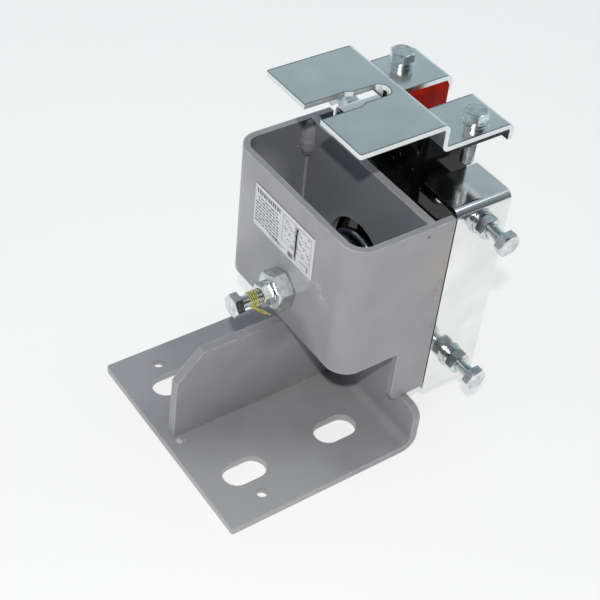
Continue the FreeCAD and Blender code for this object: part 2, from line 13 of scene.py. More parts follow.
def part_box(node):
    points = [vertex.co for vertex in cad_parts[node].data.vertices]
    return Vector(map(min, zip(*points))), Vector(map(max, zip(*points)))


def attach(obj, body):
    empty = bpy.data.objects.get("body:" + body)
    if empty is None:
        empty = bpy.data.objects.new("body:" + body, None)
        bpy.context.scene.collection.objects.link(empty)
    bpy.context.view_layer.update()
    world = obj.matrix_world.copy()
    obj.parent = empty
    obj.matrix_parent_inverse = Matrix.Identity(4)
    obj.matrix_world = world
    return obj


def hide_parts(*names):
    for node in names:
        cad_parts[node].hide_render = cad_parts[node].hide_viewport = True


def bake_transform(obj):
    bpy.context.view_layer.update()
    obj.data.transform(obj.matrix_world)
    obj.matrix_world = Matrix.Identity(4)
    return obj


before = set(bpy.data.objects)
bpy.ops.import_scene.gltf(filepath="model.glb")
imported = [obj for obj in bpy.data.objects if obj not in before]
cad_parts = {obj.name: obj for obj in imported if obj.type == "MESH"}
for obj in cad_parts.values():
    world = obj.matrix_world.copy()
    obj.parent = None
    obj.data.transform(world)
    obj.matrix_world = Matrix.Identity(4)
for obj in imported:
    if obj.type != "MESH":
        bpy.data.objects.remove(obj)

LOG = logging.getLogger("guide_shoe")
MM = 0.001
Point = tuple[float, float, float]
Colour = tuple[float, float, float]
Socket = bpy.types.NodeSocket
Material = bpy.types.Material

# M8 screws and their nuts, millimetres
M8_FLATS = 13.0
M8_NUT_BORE = 8.1
M8_NUT_T = 6.5
M8_WASHER_T = 1.6
M8_SPRING_WASHER_T = 2.1


class Axis(Enum):
    """Directions that pieces are laid along."""

    RIGHT = (0.0, -1.0, 0.0)
    LEFT = (0.0, 1.0, 0.0)
    UP = (0.0, 0.0, 1.0)
    DOWN = (0.0, 0.0, -1.0)
    RAIL = (1.0, 0.0, 0.0)
    BACK = (-1.0, 0.0, 0.0)

    @property
    def vector(self) -> Vector:
        """The direction as a unit vector."""
        return Vector(self.value)


class Graph:
    """Node tree of one material, with short calls for adding and joining its nodes."""

    SPOT_CORE = 0.3
    SPOT_FADE = 0.2
    LOOKS_INWARD = (0.002, 0.006)
    BOX_FADE = 0.0005
    EDGE_LIKENESS = (0.998, 0.95)

    def __init__(self, name: str) -> None:
        """Starts an empty material with its output and surface shader."""
        self.material = bpy.data.materials.new(name)
        self.material.use_nodes = True
        self.tree = self.material.node_tree
        self.tree.nodes.clear()
        self.output = self.tree.nodes.new("ShaderNodeOutputMaterial")
        self.shader = self.tree.nodes.new("ShaderNodeBsdfPrincipled")
        self.tree.links.new(self.shader.outputs[0], self.output.inputs["Surface"])
        self.place = self.tree.nodes.new("ShaderNodeTexCoord").outputs["Object"]

    def node(self, kind: str, **settings: object) -> bpy.types.Node:
        """Adds a node and sets its properties.

        Args:
            kind: Blender's type name of the node.
            settings: Property values by name.

        Returns:
            The new node.
        """
        made = self.tree.nodes.new(kind)
        for name, value in settings.items():
            setattr(made, name, value)
        return made

    def link(self, source: Socket, target: Socket) -> None:
        """Joins two sockets."""
        self.tree.links.new(source, target)

    def noise(self, scale: float, detail: float = 3.0, stretch: Point = (1.0, 1.0, 1.0)) -> Socket:
        """Noise over the piece's own metres.

        Args:
            scale: Cells per metre.
            detail: Octaves of the noise.
            stretch: Factors on the three axes.

        Returns:
            The noise's factor socket.
        """
        mapping = self.node("ShaderNodeMapping")
        mapping.inputs["Scale"].default_value = stretch
        self.link(self.place, mapping.inputs["Vector"])
        texture = self.node("ShaderNodeTexNoise")
        texture.inputs["Scale"].default_value = scale
        texture.inputs["Detail"].default_value = detail
        self.link(mapping.outputs[0], texture.inputs["Vector"])
        return texture.outputs["Fac"]

    def ramp(self, source: Socket, low: float, high: float) -> Socket:
        """Maps a value linearly from low..high to 0..1, clamped.

        Args:
            source: Socket to map.
            low: Value that gives 0.
            high: Value that gives 1.

        Returns:
            The mapped socket.
        """
        mapped = self.node("ShaderNodeMapRange", clamp=True)
        mapped.inputs["From Min"].default_value = low
        mapped.inputs["From Max"].default_value = high
        self.link(source, mapped.inputs["Value"])
        return mapped.outputs[0]

    def times(self, a: Socket, b: Socket) -> Socket:
        """Product of two values.

        Args:
            a: First factor.
            b: Second factor.

        Returns:
            The product's socket.
        """
        product = self.node("ShaderNodeMath", operation="MULTIPLY")
        self.link(a, product.inputs[0])
        self.link(b, product.inputs[1])
        return product.outputs[0]

    def mix(self, factor: Socket, a: Colour | Socket, b: Colour | Socket) -> Socket:
        """Colour between a and b.

        Args:
            factor: Share of b.
            a: Colour or socket at factor 0.
            b: Colour or socket at factor 1.

        Returns:
            The mixed colour socket.
        """
        mixed = self.node("ShaderNodeMix", data_type="RGBA")
        self.link(factor, mixed.inputs["Factor"])
        for socket, value in ((mixed.inputs[6], a), (mixed.inputs[7], b)):
            if isinstance(value, tuple):
                socket.default_value = (*value, 1.0)
            else:
                self.link(value, socket)
        return mixed.outputs[2]

    def spot(self, centre: Point, radius: float, ragged: float, starts: float) -> Socket:
        """Soft-edged ragged patch round a point.

        Args:
            centre: Middle of the patch, metres.
            radius: Size of the patch, metres.
            ragged: Cells per metre of the noise that frays it.
            starts: Value of the frayed mask from which the patch shows.

        Returns:
            Mask socket, 1 inside the patch.
        """
        distance = self.node("ShaderNodeVectorMath", operation="DISTANCE")
        self.link(self.place, distance.inputs[0])
        distance.inputs[1].default_value = centre
        near = self.ramp(distance.outputs["Value"], radius, radius * self.SPOT_CORE)
        return self.ramp(self.times(near, self.noise(ragged, 4.0)), starts, starts + self.SPOT_FADE)

    def facing_in(self, low: Point, high: Point) -> Socket:
        """Mask of the faces in a box that look towards its middle.

        Args:
            low: Least corner, metres.
            high: Greatest corner, metres.

        Returns:
            Mask socket, 1 on those faces.
        """
        middle = (Vector(low) + Vector(high)) / 2
        inward = self.node("ShaderNodeVectorMath", operation="SUBTRACT")
        inward.inputs[0].default_value = middle
        self.link(self.place, inward.inputs[1])
        facing = self.node("ShaderNodeVectorMath", operation="DOT_PRODUCT")
        self.link(inward.outputs[0], facing.inputs[0])
        self.link(self.node("ShaderNodeNewGeometry").outputs["True Normal"], facing.inputs[1])
        mask = self.ramp(facing.outputs["Value"], *self.LOOKS_INWARD)
        split = self.node("ShaderNodeSeparateXYZ")
        self.link(self.place, split.inputs[0])
        for axis, least, greatest in zip("XYZ", low, high):
            mask = self.times(mask, self.ramp(split.outputs[axis], least - self.BOX_FADE, least))
            mask = self.times(mask, self.ramp(split.outputs[axis], greatest + self.BOX_FADE, greatest))
        return mask

    def edges(self, radius: float) -> Socket:
        """Mask along sharp edges.

        Args:
            radius: Width of the marked strip, metres.

        Returns:
            Mask socket, 1 at an edge.
        """
        rounded = self.node("ShaderNodeBevel", samples=6)
        rounded.inputs["Radius"].default_value = radius
        flat = self.node("ShaderNodeNewGeometry")
        likeness = self.node("ShaderNodeVectorMath", operation="DOT_PRODUCT")
        self.link(rounded.outputs["Normal"], likeness.inputs[0])
        self.link(flat.outputs["True Normal"], likeness.inputs[1])
        return self.ramp(likeness.outputs["Value"], *self.EDGE_LIKENESS)

    def bump(self, source: Socket, strength: float, height: float) -> None:
        """Raises the surface by a value.

        Args:
            source: Height socket.
            strength: Share of the effect.
            height: Metres for a value of 1.
        """
        raised = self.node("ShaderNodeBump")
        raised.inputs["Strength"].default_value = strength
        raised.inputs["Distance"].default_value = height
        self.link(source, raised.inputs["Height"])
        self.link(raised.outputs[0], self.shader.inputs["Normal"])


@dataclass(frozen=True)
class PaintMark:
    """A patch of another colour on the paint: chip, rust, scuff or a paler or darker stretch."""

    centre_mm: Point
    radius_mm: float
    colour: Colour
    ragged: float
    starts: float = 0.2


@dataclass(frozen=True)
class GreyPaint:
    """Satin mid grey paint with faint mottling, rust specks, pale patches, painted shade inside the housing,
    a painted highlight along edges, and patches of painted light and shade.
    """

    name: str = "grey_paint"
    light: Colour = (0.4, 0.4, 0.418)
    dark: Colour = (0.362, 0.362, 0.38)
    # painted shade: darker colour on the housing's inner faces, where less light reaches
    inside: Colour = (0.245, 0.262, 0.285)
    inside_shade_low: Point = (0.0147, -0.0595, 0.0785)
    inside_shade_high: Point = (0.0657, 0.0595, 0.1655)
    # painted highlight: lighter colour along edges, broken up by noise
    rim: Colour = (0.64, 0.65, 0.66)
    painted_edge_width: float = 0.0011
    edge_highlight_range: tuple[float, float] = (0.3, 0.65)
    dust: Colour = (0.45, 0.45, 0.46)
    dust_range: tuple[float, float] = (0.7, 0.8)
    roughness: float = 0.42
    specular: float = 0.45
    marks: tuple[PaintMark, ...] = (
        PaintMark((84.0, -60.0, 134.0), 34.0, (0.415, 0.392, 0.372), 70.0, 0.22),
        PaintMark((76.0, -60.0, 114.5), 9.0, (0.3, 0.17, 0.12), 900.0, 0.47),
        PaintMark((79.0, -60.0, 121.0), 8.0, (0.3, 0.17, 0.12), 900.0, 0.48),
        PaintMark((79.4, -60.0, 87.1), 6.0, (0.26, 0.15, 0.11), 900.0, 0.47),
        # painted light: paler patches on the base's foot and on the housing's -X wall, where more light falls
        PaintMark((-75.0, -85.0, 5.0), 125.0, (0.47, 0.475, 0.49), 8.0, 0.16),
        PaintMark((-75.0, 92.0, 5.0), 85.0, (0.46, 0.465, 0.48), 8.0, 0.14),
        PaintMark((14.2, 66.0, 125.0), 55.0, (0.47, 0.47, 0.48), 8.0, 0.16),
        # painted shade: darker patch low on the housing's -X wall
        PaintMark((14.2, -14.0, 68.0), 36.0, (0.29, 0.29, 0.31), 8.0, 0.16),
        PaintMark((63.9, -72.5, 5.0), 2.0, (0.8, 0.8, 0.8), 700.0),
        PaintMark((-54.6, -2.7, 5.6), 3.0, (0.8, 0.8, 0.8), 900.0),
        PaintMark((63.8, -60.0, 160.5), 1.6, (0.12, 0.12, 0.12), 700.0),
        PaintMark((14.2, -31.5, 124.5), 9.0, (0.52, 0.52, 0.535), 500.0, 0.44),
        PaintMark((14.2, -36.0, 117.5), 9.0, (0.52, 0.52, 0.535), 500.0, 0.44),
        PaintMark((-55.0, 1.4, 55.6), 1.8, (0.1, 0.1, 0.11), 700.0),
        PaintMark((-38.7, 1.4, 69.0), 1.6, (0.12, 0.12, 0.12), 700.0),
        PaintMark((39.3, 1.4, 6.0), 2.0, (0.5, 0.5, 0.52), 700.0),
    )

    def build(self) -> Material:
        """Paint with its tones, painted shade inside, a painted highlight along edges and marks.

        Returns:
            The finished material.
        """
        graph = Graph(self.name)
        mottle = graph.ramp(graph.noise(55.0, 4.0), 0.35, 0.68)
        colour = graph.mix(mottle, self.dark, self.light)
        # painted shade on the faces inside the housing
        colour = graph.mix(graph.facing_in(self.inside_shade_low, self.inside_shade_high), colour, self.inside)
        dust = graph.ramp(graph.noise(900.0, 2.0), *self.dust_range)
        colour = graph.mix(dust, colour, self.dust)
        if self.painted_edge_width:
            # painted highlight along edges, broken up by noise
            edge_highlight_breakup = graph.ramp(graph.noise(160.0, 3.0), *self.edge_highlight_range)
            colour = graph.mix(graph.times(graph.edges(self.painted_edge_width), edge_highlight_breakup), colour, self.rim)
        for mark in self.marks:
            centre = tuple(value * MM for value in mark.centre_mm)
            mask = graph.spot(centre, mark.radius_mm * MM, mark.ragged, mark.starts)
            colour = graph.mix(mask, colour, mark.colour)
        graph.link(colour, graph.shader.inputs["Base Color"])
        graph.shader.inputs["Roughness"].default_value = self.roughness
        graph.shader.inputs["Specular IOR Level"].default_value = self.specular
        graph.bump(graph.noise(1300.0, 2.0), 0.12, 0.0002)
        return graph.material


@dataclass(frozen=True)
class Metal:
    """Plated or bare metal with a cloudy tint, fine unevenness and, where wanted, a painted dark reflection
    along upward edges.
    """

    name: str
    light: Colour
    dark: Colour
    smooth: float
    rough: float
    cloud_scale: float = 60.0
    cloud_range: tuple[float, float] = (0.32, 0.7)
    waviness: float = 0.00006
    # painted reflection: dark colour along upward-facing edges
    painted_edge_width: float = 0.0
    rim: Colour = (0.1, 0.12, 0.13)
    edge_reflection_facing: tuple[float, float] = (0.5, 0.9)
    metallic: float = 1.0

    def build(self) -> Material:
        """Metal with its tint, gloss and a painted dark reflection along upward edges where wanted.

        Returns:
            The finished material.
        """
        graph = Graph(self.name)
        cloud = graph.ramp(graph.noise(self.cloud_scale, 4.0), *self.cloud_range)
        colour = graph.mix(cloud, self.dark, self.light)
        if self.painted_edge_width:
            # painted dark reflection along upward-facing edges
            facing = graph.node("ShaderNodeSeparateXYZ")
            graph.link(graph.node("ShaderNodeNewGeometry").outputs["True Normal"], facing.inputs[0])
            upward = graph.ramp(facing.outputs["Z"], *self.edge_reflection_facing)
            line = graph.times(graph.edges(self.painted_edge_width), upward)
            colour = graph.mix(line, colour, self.rim)
        graph.link(colour, graph.shader.inputs["Base Color"])
        graph.shader.inputs["Metallic"].default_value = self.metallic
        rough = graph.node("ShaderNodeMapRange")
        rough.inputs["To Min"].default_value = self.smooth
        rough.inputs["To Max"].default_value = self.rough
        graph.link(graph.noise(self.cloud_scale * 4.0), rough.inputs["Value"])
        graph.link(rough.outputs[0], graph.shader.inputs["Roughness"])
        graph.bump(graph.noise(self.cloud_scale * 0.8, 1.0), 0.35, self.waviness)
        return graph.material


@dataclass(frozen=True)
class Coat:
    """Plain coloured finish: gloss paint, rubber, plastic, print or fibre."""

    name: str
    light: Colour
    dark: Colour
    roughness: float
    specular: float = 0.5
    cloud_scale: float = 120.0
    grain_scale: float = 900.0
    grain: float = 0.00004
    sheen: float = 0.0
    speck_scale: float = 0.0
    speck: Colour = (0.3, 0.3, 0.32)
    speck_stretch: Point = (1.0, 1.0, 0.45)
    speck_range: tuple[float, float] = (0.69, 0.76)

    def build(self) -> Material:
        """Coat with its tint, grain and pale specks.

        Returns:
            The finished material.
        """
        graph = Graph(self.name)
        cloud = graph.ramp(graph.noise(self.cloud_scale, 3.0), 0.35, 0.68)
        colour = graph.mix(cloud, self.dark, self.light)
        # pale specks laid over the coat by noise
        if self.speck_scale:
            mask = graph.ramp(graph.noise(self.speck_scale, 4.0, self.speck_stretch), *self.speck_range)
            colour = graph.mix(mask, colour, self.speck)
        graph.link(colour, graph.shader.inputs["Base Color"])
        graph.shader.inputs["Roughness"].default_value = self.roughness
        graph.shader.inputs["Specular IOR Level"].default_value = self.specular
        graph.shader.inputs["Sheen Weight"].default_value = self.sheen
        graph.bump(graph.noise(self.grain_scale, 2.0), 0.3, self.grain)
        return graph.material


@dataclass
class Finishes:
    """Every finish of the part, built once."""

    paint: Material = field(init=False)
    weld_paint: Material = field(init=False)
    sheet: Material = field(init=False)
    cheek: Material = field(init=False)
    fastener: Material = field(init=False)
    nut: Material = field(init=False)
    black: Material = field(init=False)
    spring: Material = field(init=False)
    rubber: Material = field(init=False)
    liner: Material = field(init=False)
    foil: Material = field(init=False)
    print_dark: Material = field(init=False)
    print_light: Material = field(init=False)
    thread: Material = field(init=False)

    def __post_init__(self) -> None:
        """Builds the materials."""
        self.paint = GreyPaint().build()
        # the welds get a milder painted shade inside the housing and no painted edge highlight
        self.weld_paint = GreyPaint("grey_paint_on_welds", inside=(0.36, 0.355, 0.375), painted_edge_width=0.0).build()
        # zinc sheet with a painted dark reflection along its upward edges
        self.sheet = Metal(
            "zinc_sheet", (0.82, 0.85, 0.845), (0.72, 0.765, 0.765), 0.12, 0.3, 45.0, painted_edge_width=0.0018
        ).build()
        self.cheek = Metal("zinc_cheek", (0.9, 0.91, 0.9), (0.8, 0.82, 0.812), 0.08, 0.2, 45.0).build()
        self.fastener = Metal(
            "zinc_fastener", (0.84, 0.88, 0.875), (0.52, 0.57, 0.58), 0.15, 0.34, 300.0, waviness=0.00004
        ).build()
        self.nut = Metal(
            "zinc_nut", (0.82, 0.87, 0.87), (0.44, 0.51, 0.52), 0.26, 0.4, 220.0, metallic=0.92
        ).build()
        self.spring = Metal("spring_steel", (0.42, 0.46, 0.49), (0.2, 0.225, 0.25), 0.14, 0.26, 80.0).build()
        self.black = Coat(
            "black_steel", (0.006, 0.006, 0.007), (0.004, 0.004, 0.005), 0.13, 0.3, speck_scale=260.0
        ).build()
        self.rubber = Coat("black_rubber", (0.006, 0.006, 0.006), (0.004, 0.004, 0.004), 0.6, 0.1).build()
        self.liner = Coat("red_liner", (0.43, 0.016, 0.006), (0.31, 0.012, 0.005), 0.5, 0.07).build()
        self.foil = Coat("label_foil", (0.8, 0.81, 0.82), (0.74, 0.75, 0.76), 0.42).build()
        self.print_dark = Coat("label_print_dark", (0.2, 0.2, 0.21), (0.16, 0.16, 0.17), 0.5).build()
        self.print_light = Coat("label_print_light", (0.45, 0.45, 0.46), (0.4, 0.4, 0.41), 0.5).build()
        self.thread = Coat(
            "yellow_thread", (0.8, 0.72, 0.06), (0.5, 0.46, 0.03), 0.6, 0.4, 600.0, sheen=0.4
        ).build()


@dataclass
class Shape:
    """Mesh being put together from grids of points, in millimetres."""

    points: list[Vector] = field(default_factory=list)
    faces: list[tuple[int, ...]] = field(default_factory=list)

    def grid(self, rows: list[list[Vector]], around: bool = False, capped: bool = False) -> "Shape":
        """Adds a skin over rows of points.

        Args:
            rows: Rows of equally many points.
            around: Whether each row closes on itself.
            capped: Whether the first and last rows get a flat face.

        Returns:
            This shape.
        """
        first = len(self.points)
        width = len(rows[0])
        for row in rows:
            self.points.extend(row)
        for i in range(len(rows) - 1):
            for j in range(width if around else width - 1):
                k = (j + 1) % width
                low = first + i * width
                self.faces.append((low + j, low + k, low + width + k, low + width + j))
        if capped:
            last = first + (len(rows) - 1) * width
            self.faces.append(tuple(first + j for j in reversed(range(width))))
            self.faces.append(tuple(last + j for j in range(width)))
        return self

    def placed(self, origin: Vector, direction: Vector, turn_deg: float = 0.0) -> "Shape":
        """Copy whose own Z points along direction from origin.

        Args:
            origin: Where its own zero goes, millimetres.
            direction: Where its own Z points.
            turn_deg: Turn about that direction.

        Returns:
            The moved copy.
        """
        turn = Vector((0, 0, 1)).rotation_difference(direction).to_matrix()
        turn = turn @ Matrix.Rotation(math.radians(turn_deg), 3, "Z")
        return Shape([origin + turn @ point for point in self.points], list(self.faces))

    def joined(self, other: "Shape") -> "Shape":
        """This shape and another one as one.

        Args:
            other: Shape to add.

        Returns:
            The sum of both.
        """
        shift = len(self.points)
        moved = [tuple(index + shift for index in face) for face in other.faces]
        return Shape(self.points + other.points, self.faces + moved)

    def piece(
        self, name: str, material: Material, slot: str, body: str | None = None, sharp_deg: float = 35.0
    ) -> bpy.types.Object:
        """Turns the shape into a shown piece.

        Args:
            name: Name of the piece.
            material: Its finish.
            slot: The record's material slot; not used.
            body: CAD body it rides on, or None to leave it unattached.
            sharp_deg: Angle from which edges stay sharp.

        Returns:
            The new object.
        """
        mesh = bpy.data.meshes.new(name)
        mesh.from_pydata([point * MM for point in self.points], [], self.faces)
        obj = bpy.data.objects.new(name, mesh)
        bpy.context.scene.collection.objects.link(obj)
        weld = obj.modifiers.new("weld", "WELD")
        weld.merge_threshold = 0.000002
        mesh.materials.append(material)
        mesh.shade_smooth()
        mesh.set_sharp_from_angle(angle=math.radians(sharp_deg))
        if body is not None:
            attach(obj, body)
        LOG.info("%s: %d faces", name, len(self.faces))
        return obj


def ring_row(radius: float, height: float, count: int) -> list[Vector]:
    """One circle of points round Z."""
    turns = [2 * math.pi * j / count for j in range(count)]
    return [Vector((radius * math.cos(turn), radius * math.sin(turn), height)) for turn in turns]


def lathe(profile: list[tuple[float, float]], count: int = 64) -> Shape:
    """Body of revolution round Z.

    Args:
        profile: (radius, height) pairs, in order.
        count: Points round the circle.

    Returns:
        The shape, closed when the profile ends where it starts.
    """
    return Shape().grid([ring_row(radius, height, count) for radius, height in profile], around=True)


@dataclass(frozen=True)
class Hexagon:
    """Hexagonal nut or head with turned-off corners, millimetres."""

    across_flats: float
    height: float
    bore_d: float = 0.0
    chamfer_deg: float = 28.0
    face_share: float = 0.95
    bore_chamfer: float = 0.5
    both_ends: bool = True
    samples: int = 96

    def reach(self, turn: float) -> float:
        """Distance from the axis to the hexagon's side at an angle."""
        return self.across_flats / 2 / math.cos(turn % (math.pi / 3) - math.pi / 6)

    def rim(self, radius: float, top: bool) -> list[Vector]:
        """Edge between the sides and the turned-off end.

        Args:
            radius: Radius of the flat face at that end.
            top: Whether the row is at the far end.

        Returns:
            The points of the edge.
        """
        row = []
        for j in range(self.samples):
            turn = 2 * math.pi * j / self.samples
            reach = self.reach(turn)
            drop = max(0.0, reach - radius) * math.tan(math.radians(self.chamfer_deg))
            height = self.height - drop if top else drop
            row.append(Vector((reach * math.cos(turn), reach * math.sin(turn), height)))
        return row

    def build(self) -> Shape:
        """Nut or head with its bearing face at zero.

        Returns:
            The shape along its own Z.
        """
        face_r = self.across_flats / 2 * self.face_share
        sharp = [
            Vector((self.reach(t) * math.cos(t), self.reach(t) * math.sin(t), 0.0))
            for t in (2 * math.pi * j / self.samples for j in range(self.samples))
        ]
        rows = []
        if self.both_ends:
            rows += [ring_row(face_r, 0.0, self.samples), self.rim(face_r, False)]
        else:
            rows += [sharp]
        rows += [self.rim(face_r, True), ring_row(face_r, self.height, self.samples)]
        if self.bore_d:
            bore = self.bore_d / 2
            cut = self.bore_chamfer
            inside = ((bore + cut, self.height), (bore, self.height - cut), (bore, cut), (bore + cut, 0.0))
            rows += [ring_row(radius, height, self.samples) for radius, height in inside]
            return Shape().grid(rows + rows[:1], around=True)
        return Shape().grid(rows, around=True, capped=True)


@dataclass(frozen=True)
class Thread:
    """Threaded shank from zero along Z, millimetres."""

    diameter: float
    length: float
    pitch: float = 1.25
    per_turn: int = 20
    rows_per_pitch: int = 5
    chamfer: float = 1.0
    chamfer_slope: float = 0.8
    depth_share: float = 0.6
    flank: float = 1.35
    root: float = 0.12
    tip_r: float = 0.05

    def radius(self, phase: float) -> float:
        """Radius at a phase of the ridge.

        Args:
            phase: Share of a pitch, with the crest at 0.5.

        Returns:
            The radius in millimetres.
        """
        rise = 1 - abs(2 * (phase % 1.0) - 1)
        depth = self.depth_share * self.pitch
        return self.diameter / 2 - depth * (1 - min(1.0, max(0.0, self.flank * rise - self.root)))

    def build(self) -> Shape:
        """Shank whose rows follow the ridge, so its crest stays clean.

        Returns:
            The shape from zero along its own Z.
        """
        n = self.rows_per_pitch
        first = -n
        last = math.ceil(self.length / self.pitch) * n
        rows = []
        for i in range(first, last + 1):
            row = []
            for j in range(self.per_turn + 1):
                share = j / self.per_turn
                height = min(max(self.pitch * (i / n + share), 0.0), self.length)
                radius = self.radius(i / n)
                left = self.length - height
                radius = min(radius, self.diameter / 2 - max(0.0, self.chamfer - left) * self.chamfer_slope)
                turn = 2 * math.pi * share
                row.append(Vector((radius * math.cos(turn), radius * math.sin(turn), height)))
            rows.append(row)
        shape = Shape().grid(rows)
        end_r = self.diameter / 2 - self.chamfer_slope * self.chamfer
        tip = [ring_row(end_r, self.length, 32), ring_row(self.tip_r, self.length, 32)]
        shape.grid(tip, around=True)
        return shape


@dataclass(frozen=True)
class Tube:
    """Round tube of one or more plies along a path, millimetres."""

    path: tuple[Vector, ...]
    ply_d: float
    plies: int = 1
    offset: float = 0.0
    twist_pitch: float = 1.5
    sides: int = 7

    def frames(self) -> list[tuple[Vector, Vector, Vector, float]]:
        """Directions along the path that don't twist.

        Returns:
            Point, two across directions and length so far, for each point of the path.
        """
        found = []
        across = None
        run = 0.0
        for i, point in enumerate(self.path):
            before = self.path[max(i - 1, 0)]
            after = self.path[min(i + 1, len(self.path) - 1)]
            ahead = (after - before).normalized()
            if across is None:
                across = ahead.orthogonal().normalized()
            across = (across - ahead * across.dot(ahead)).normalized()
            if i:
                run += (point - self.path[i - 1]).length
            found.append((point, across, ahead.cross(across), run))
        return found

    def build(self) -> Shape:
        """Plies wound round the path.

        Returns:
            The tube or the twisted plies.
        """
        shape = Shape()
        frames = self.frames()
        for ply in range(self.plies):
            rows = []
            for point, u, v, run in frames:
                turn = 2 * math.pi * (ply / self.plies + run / self.twist_pitch)
                centre = point + (u * math.cos(turn) + v * math.sin(turn)) * self.offset
                angles = [2 * math.pi * k / self.sides for k in range(self.sides)]
                rows.append([centre + (u * math.cos(a) + v * math.sin(a)) * (self.ply_d / 2) for a in angles])
            shape.grid(rows, around=True, capped=True)
        return shape


@dataclass(frozen=True)
class Bead:
    """Fillet weld run with ripples, between two plates that meet at a corner line, millimetres."""

    start: Vector
    end: Vector
    side_a: Vector
    side_b: Vector
    leg: float
    ripple: float = 0.28
    spacing: float = 2.1
    crown: float = 0.1
    lumpy: float = 0.25
    end_run: float = 2.5
    end_leg: float = 0.35
    step: float = 0.35
    profile_steps: int = 12
    lump_cells: float = 0.22

    def build(self) -> Shape:
        """Run with its ripples, lumps and tapered ends.

        Returns:
            The bead's face, closed to the corner line.
        """
        along = self.end - self.start
        steps = max(8, int(along.length / self.step))
        rows = []
        for i in range(steps + 1):
            share = i / steps
            place = self.start + along * share
            wave = self.ripple * abs(math.sin(math.pi * along.length * share / self.spacing))
            lump = self.lumpy * noise.noise(place * self.lump_cells)
            rise = min(1.0, min(share, 1 - share) * along.length / self.end_run)
            taper = self.end_leg + (1 - self.end_leg) * math.sin(rise * math.pi / 2)
            leg = (self.leg + lump * 1.5) * taper
            row = []
            for j in range(self.profile_steps + 1):
                across = j / self.profile_steps
                bulge = (wave + lump + self.crown * self.leg) * math.sin(math.pi * across) * taper
                flat = Vector((leg * (1 - across), leg * across, 0))
                swell = flat + Vector((1, 1, 0)) * (bulge * 0.7)
                row.append(place + self.side_a * swell.x + self.side_b * swell.y)
            row.append(place)
            rows.append(row)
        return Shape().grid(rows, around=True, capped=True)


@dataclass
class DressedNodes:
    """CAD nodes shown as they are, with welded seams, rounded edges and a finish."""

    segments: int = 2
    turn_limit_deg: float = 34.0
    weld_distance: float = 0.00001

    def dress(self, material: Material, edge_mm: float, *names: str) -> None:
        """Gives nodes their finish and rounded edges.

        Args:
            material: The finish.
            edge_mm: Width of the edge rounding, or 0 for none.
            names: Nodes to dress.
        """
        for name in names:
            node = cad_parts[name]
            node.data.materials.clear()
            node.data.materials.append(material)
            weld = node.modifiers.new("weld", "WELD")
            weld.merge_threshold = self.weld_distance
            if edge_mm:
                bevel = node.modifiers.new("edges", "BEVEL")
                bevel.width = edge_mm * MM
                bevel.segments = self.segments
                bevel.limit_method = "ANGLE"
                bevel.angle_limit = math.radians(self.turn_limit_deg)
                bevel.use_clamp_overlap = True
                bevel.miter_outer = "MITER_ARC"
            normals = node.modifiers.new("normals", "WEIGHTED_NORMAL")
            normals.weight = 100
            normals.keep_sharp = False
            LOG.info("dressed %s", name)


